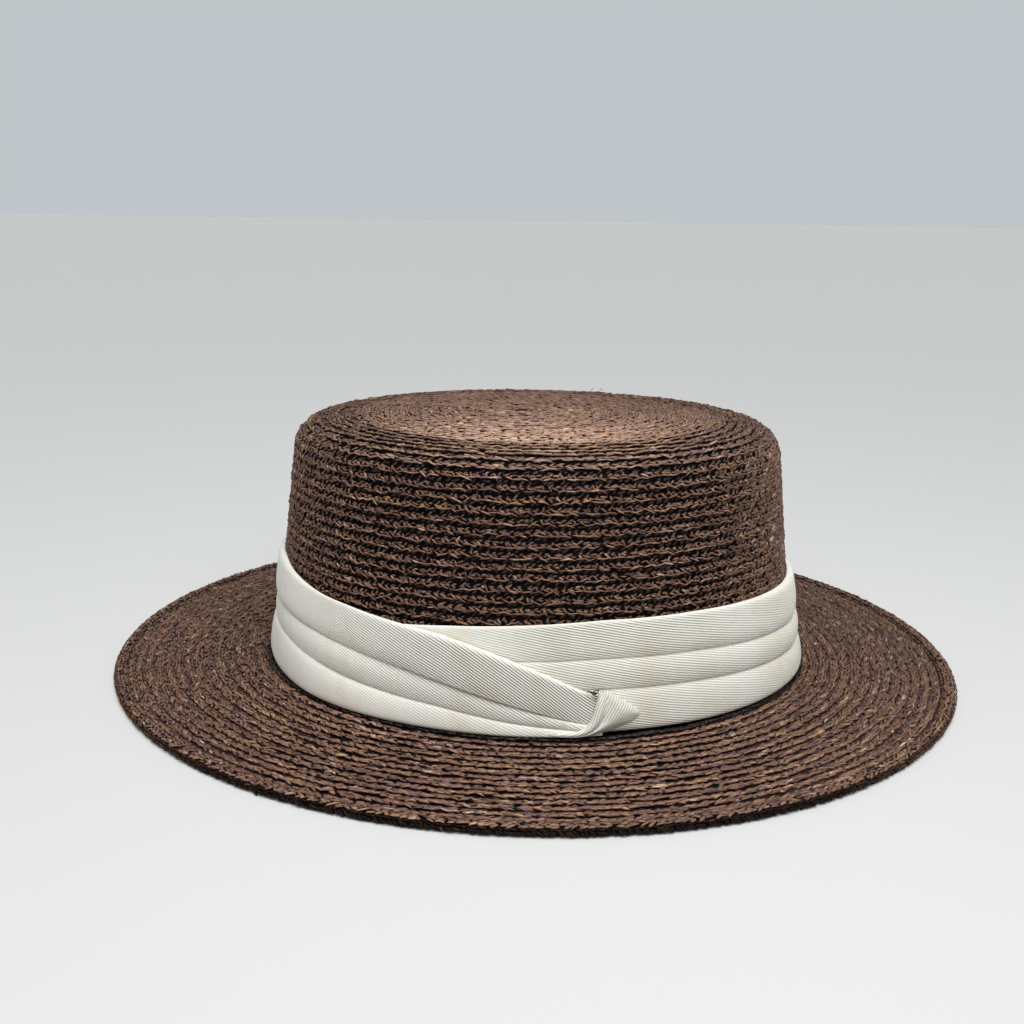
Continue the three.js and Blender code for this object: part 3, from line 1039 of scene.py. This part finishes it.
def clothSheet(name, sections, uvOf, ribShares, thickness, material):
    # a sheet of cloth from rows of points: a grid, laid where the rows say. uvOf gives
    # the cloth's own place of a point for the column of faces that asks.
    rows, count = len(sections), len(sections[0])
    sheet = bmesh.new()
    bmesh.ops.create_grid(sheet, x_segments=count - 1, y_segments=rows - 1, size=0.5)
    sheet.verts.ensure_lookup_table()
    layer = sheet.loops.layers.uv.new("clothUv")
    share = sheet.verts.layers.float.new("ribShare")
    order = {}
    for vert in sheet.verts:
        order[vert] = (round((vert.co.y + 0.5) * (rows - 1)), round((vert.co.x + 0.5) * (count - 1)))
    for vert, (row, k) in order.items():
        vert.co = Vector(sections[row][k]) * mm
        vert[share] = ribShares[row][k]
    for face in sheet.faces:
        column = min(order[vert][1] for vert in face.verts)
        for corner in face.loops:
            row, k = order[corner.vert]
            corner[layer].uv = Vector(uvOf(row, k, column)) * mm
    piece = finishPiece(name, sheet, material)
    solid = piece.modifiers.new("thickness", "SOLIDIFY")
    solid.thickness = thickness * mm
    solid.offset = 0.0
    return piece


def clothReach(section):
    # mm of cloth above each point of a section up to the hidden fold over its pleat
    step = np.linalg.norm(np.diff(section, axis=0), axis=1)
    reach = np.concatenate([[0], np.cumsum(step)])
    z = section[:, 2]
    folds = [k for k in range(2, len(z) - 2) if z[k] >= z[k - 1] and z[k] > z[k + 1]]
    anchors = np.array([reach[k] for k in folds] + [reach[-1]])
    own = anchors[np.searchsorted(anchors, reach)]
    return reach - own


def makeBand():
    angles = np.linspace(bandTable[0][0], bandTable[-1][0], bandSizes["stations"])
    table = bandAt(angles)
    ribs = np.array(bandRibs)
    shares, closeness, lowest = (np.interp(angles, ribs[:, 0], ribs[:, column])
                                 for column in (1, 2, 3))
    sections, runs, rises, flats, crisp = [], [], [], [], []
    run, rise, last = 0.0, 0.0, None
    for k, angle in enumerate(angles):
        row = {key: float(values[k]) for key, values in table.items()}
        path = bandPath(row)
        insets = sideInset(path[:, 1]) - path[:, 0]
        section = ovalPoints(np.full(len(path), math.radians(angle)), insets, path[:, 1])
        guide = section[int(len(path) * 0.84)]
        if last is not None:
            step = float(np.linalg.norm(guide - last))
            run += step
            rise += step * math.tan(math.radians(row["slant"])) * closeness[k]
        last = guide
        sections.append(section)
        runs.append(run)
        rises.append(rise)
        flats.append(clothReach(section) * closeness[k])
        hem = section[:, 2].max() - section[:, 2]
        creases = hat["bandFoot"] + hat["bandHeight"] * np.array([row["lineOne"], row["lineTwo"]])
        beside = np.abs(section[:, 2][:, None] - creases[None] - 0.1).min(axis=1)
        down = (section[:, 2][:, None] < creases[None]).sum(axis=1) / 2
        crisp.append(shares[k] * np.clip(hem / bandSizes["hem"], 0.1, 1)
                     * np.clip(beside / bandSizes["pressed"] - 0.3, 0, 1)
                     * (1 + (lowest[k] - 1) * down))

    def uvOf(row, k, column):
        return runs[row], flats[row][k] + rises[row]

    piece = clothSheet("band_cloth_strip", sections, uvOf, crisp, bandSizes["cloth"], cloth)
    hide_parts("band")
    print("band cloth is", round(run), "mm long")


# The knot, a strip that comes along the foot of the band from the left, turns up and
# opens to the right. Each row has the angle and height of its left and right sides,
# how wide its rolled left rim is as a share of the row, and how far it swells, in mm.
knotTable = [
    (-85.0, 4.3, -84.9, 3.6, 0.50, 0.0),
    (-82.8, 4.4, -82.5, 2.9, 0.50, 0.5),
    (-80.2, 4.7, -79.3, 2.6, 0.48, 1.0),
    (-78.5, 5.9, -76.8, 3.0, 0.42, 1.5),
    (-77.4, 8.1, -74.0, 4.2, 0.32, 1.9),
    (-76.8, 10.4, -71.6, 5.8, 0.24, 2.1),
    (-76.5, 12.3, -69.0, 7.0, 0.18, 2.1),
    (-76.2, 14.2, -67.2, 9.6, 0.15, 1.9),
    (-75.9, 16.2, -70.4, 13.8, 0.20, 1.5),
    (-75.8, 17.9, -74.4, 17.9, 0.50, 0.8),
]
knotSizes = {
    "rows": 50,
    "base": 3.4,  # mm off the crown
    "cloth": 0.3,  # mm
    "middle": -80.0,  # degrees, and mm of height, from which the fan of ribs is measured
    "fanHeight": 11.0,
    "fan": 22.0,  # mm from the fan's point to there
    "fanLeft": 2.8,  # mm
    "ribs": 1.2,
    "crisp": 0.6,
    "rimShare": 0.52,  # share of the section that is the rolled rim
    "rimStep": 0.4,  # mm of rib for each row of the rim
    "arc": 1.13,  # a degree of the band here, against one of the oval's short side
}


def makeKnot():
    table = np.array(knotTable)
    steps = np.linspace(0, len(table) - 1, knotSizes["rows"])
    rows = np.stack([np.interp(steps, np.arange(len(table)), table[:, k]) for k in range(6)], -1)
    for _ in range(3):
        rows[1:-1] = 0.25 * rows[:-2] + 0.5 * rows[1:-1] + 0.25 * rows[2:]
    base = knotSizes["base"]
    around = math.radians(1) * hat["halfWidth"] * knotSizes["arc"]  # mm of band in a degree
    sections, widths, flats, crisp = [], [], [], []
    for leftAngle, leftZ, rightAngle, rightZ, rim, swell in rows:
        fall = float(np.clip((9.5 - rightZ) / 6, 0, 1))  # the under side turns down
        path = [  # share from left to right, distance off the crown
            (rim * 0.9, base - 0.2), (rim * 0.3, base - 0.2), (-0.01, base + 0.1),
            (0.0, base + swell * 0.7), (rim * 0.25, base + swell * 1.15),
            (rim * 0.65, base + swell * 1.15), (rim * 1.0, base + swell * 0.8),
            (rim * 1.25, base + swell * 0.72), (0.25 + rim * 0.6, base + swell * 0.85),
            (0.52, base + swell * 0.82), (0.72, base + swell * 0.5 - fall * 0.45),
            (0.9, base + swell * 0.05 - fall * 0.8),
            (1.0, base - 1.0), (0.9, base - 1.4),
        ]
        path = chaikin(np.array(path), 2)
        angle = leftAngle + (rightAngle - leftAngle) * path[:, 0]
        z = leftZ + (rightZ - leftZ) * path[:, 0]
        sections.append(ovalPoints(np.radians(angle), sideInset(z) - path[:, 1], z))
        step = np.linalg.norm(np.diff(sections[-1], axis=0), axis=1)
        widths.append(np.concatenate([[0], np.cumsum(step)]))
        flats.append(np.stack([(angle - knotSizes["middle"]) * around, z], -1))
        under = np.clip((path[:, 0] - 0.25) / 0.2, 0, 1) * np.clip(9.0 - z, 0, 1)
        crisp.append(knotSizes["crisp"] * (1 - under))
    rimEnd = int(len(sections[0]) * knotSizes["rimShare"])

    def uvOf(row, k, column):
        if column < rimEnd:
            return row * knotSizes["rimStep"], widths[row][k]
        across, z = flats[row][k]
        turn = math.atan2(across + knotSizes["fanLeft"],
                          z - knotSizes["fanHeight"] + knotSizes["fan"])
        return z, turn * knotSizes["fan"] * knotSizes["ribs"]

    piece = clothSheet("band_knot_cloth", sections, uvOf, crisp, knotSizes["cloth"], cloth)
    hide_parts("band_knot")


knotThreads = [  # angle, height and distance off the crown along each stitch, in mm
    ((-78.1, 17.9, 3.3), (-77.3, 18.2, 3.9), (-76.6, 17.8, 3.9), (-75.9, 17.3, 3.2)),
    ((-77.8, 18.3, 3.2), (-77.0, 17.6, 3.8), (-76.4, 17.2, 3.9), (-75.8, 18.1, 3.1)),
    ((-77.4, 17.4, 3.3), (-76.9, 18.0, 4.0), (-76.4, 18.4, 3.7), (-75.7, 18.3, 3.0)),
    ((-77.9, 18.1, 3.3), (-77.2, 17.9, 3.8), (-76.5, 17.5, 3.9), (-76.0, 17.6, 3.3)),
    ((-77.1, 17.2, 3.4), (-76.7, 16.9, 3.9), (-76.3, 16.6, 3.9), (-76.0, 16.4, 3.3)),
]
threadLook = {"colour": "#2b2019", "roughness": 0.7, "radius": 0.2, "steps": 11}


def makeKnotThreads():
    # Waxed sewing thread in the small opening over the knot, laid close and coloured near black so it
    # also stands for the shade in the opening: partly real thread, partly painted shade.
    material = plainMaterial("thread dark as shade", threadLook["colour"], threadLook["roughness"])
    body = bmesh.new()
    for stitch in knotThreads:
        marks = np.array(stitch)
        steps = np.linspace(0, len(marks) - 1, threadLook["steps"])
        degrees, z, off = (np.interp(steps, np.arange(len(marks)), marks[:, k]) for k in range(3))
        sweepThread(body, ovalPoints(np.radians(degrees), sideInset(z) - off, z),
                    threadLook["radius"])
    bmesh.ops.recalc_face_normals(body, faces=body.faces)
    finishPiece("band_knot_threads", body, material)


# Camera, set where the photo was taken from
cameraPlace = {
    "across": 16.49,  # mm
    "back": 421.94,
    "up": 165.36,
    "pitch": 0.25751,  # radians
    "yaw": -0.05985,
    "roll": 0.01353,
    "focal": 1130.3,  # in pixels of a picture this wide
    "picture": 1024,
    "sensor": 36.0,  # mm
}


def makeCamera():
    pitch, yaw, roll = (cameraPlace[key] for key in ("pitch", "yaw", "roll"))
    ahead = Vector((math.sin(yaw) * math.cos(pitch), math.cos(yaw) * math.cos(pitch),
                    -math.sin(pitch)))
    right = Vector((math.cos(yaw), -math.sin(yaw), 0))
    up = right.cross(ahead)
    turnedRight = right * math.cos(roll) + up * math.sin(roll)
    turnedUp = up * math.cos(roll) - right * math.sin(roll)
    data = bpy.data.cameras.new("camera")
    data.sensor_width = cameraPlace["sensor"]
    data.lens = cameraPlace["sensor"] * cameraPlace["focal"] / cameraPlace["picture"]
    camera = newObject("camera", data)
    axes = Matrix((turnedRight, turnedUp, -ahead)).transposed().to_4x4()
    place = Vector((cameraPlace["across"], -cameraPlace["back"], cameraPlace["up"])) * mm
    camera.matrix_world = Matrix.Translation(place) @ axes
    bpy.context.scene.camera = camera


# Floor and light
studio = {
    "floor": "#dcdcda",
    "floorRoughness": 0.8,
    "floorSize": 60.0,  # m
    "air": "#e3eaee",
    "airSeen": 0.68,  # brightness of the low air behind the hat, and of all the rest
    "airRest": 0.34,
    "behindFrom": 0.6,  # how far forward a heading points where that air begins and is full
    "behindTo": 0.85,
    "lowFrom": 0.18,  # and how far up where it ends
    "lowTo": 0.35,
    "sunStrength": 1.9,
    "sunWidth": 45.0,  # degrees, a broad soft sky panel
    "sunFrom": (0.1, -0.4, 0.91),
    "lampPower": 1.35,  # watts of a soft lamp close over the front
    "lampSize": 0.45,  # m
    "lampAt": (0.06, -0.30, 0.50),
}


def makeStudio():
    floor = bmesh.new()
    bmesh.ops.create_grid(floor, x_segments=1, y_segments=1, size=studio["floorSize"] / 2)
    mesh = bpy.data.meshes.new("floor")
    floor.to_mesh(mesh)
    floor.free()
    mesh.materials.append(plainMaterial("pale matt floor", studio["floor"],
                                        studio["floorRoughness"]))
    newObject("floor", mesh)
    world = bpy.data.worlds.new("soft daylight")
    world.use_nodes = True
    air = world.node_tree
    back = air.nodes["Background"]
    heading = addNode(air, "TexCoord").outputs["Generated"]
    parts = addNode(air, "SeparateXYZ", {0: heading})
    behind = rangeOf(air, parts.outputs["Y"], studio["behindFrom"], studio["behindTo"],
                     studio["airRest"], studio["airSeen"])
    strength = rangeOf(air, parts.outputs["Z"], studio["lowFrom"], studio["lowTo"],
                       behind, studio["airRest"])
    feed(air, back, {"Color": paint(studio["air"]), "Strength": strength})
    bpy.context.scene.world = world
    data = bpy.data.lights.new("sky panel", "SUN")
    data.energy = studio["sunStrength"]
    data.angle = math.radians(studio["sunWidth"])
    sky = newObject("sky panel", data)
    sky.rotation_euler = Vector(studio["sunFrom"]).to_track_quat("Z", "Y").to_euler()
    data = bpy.data.lights.new("soft lamp", "AREA")
    data.energy = studio["lampPower"]
    data.size = studio["lampSize"]
    lamp = newObject("soft lamp", data)
    lamp.location = Vector(studio["lampAt"])
    lamp.rotation_euler = Vector(studio["lampAt"]).to_track_quat("Z", "Y").to_euler()
    lamp.visible_camera = False
    bpy.context.scene.view_settings.view_transform = "Standard"


makeCamera()
print("camera set")
makeStudio()
makeCrownShell()
makeBrimShell()
print("shells made")
makeCrownStraws()
makeBrimStraws()
makeEdgeStraws()
makeUnderStraws()
makeLooseEnds()
print("straws laid")
makeBand()
makeKnot()
makeKnotThreads()
print("band laid")
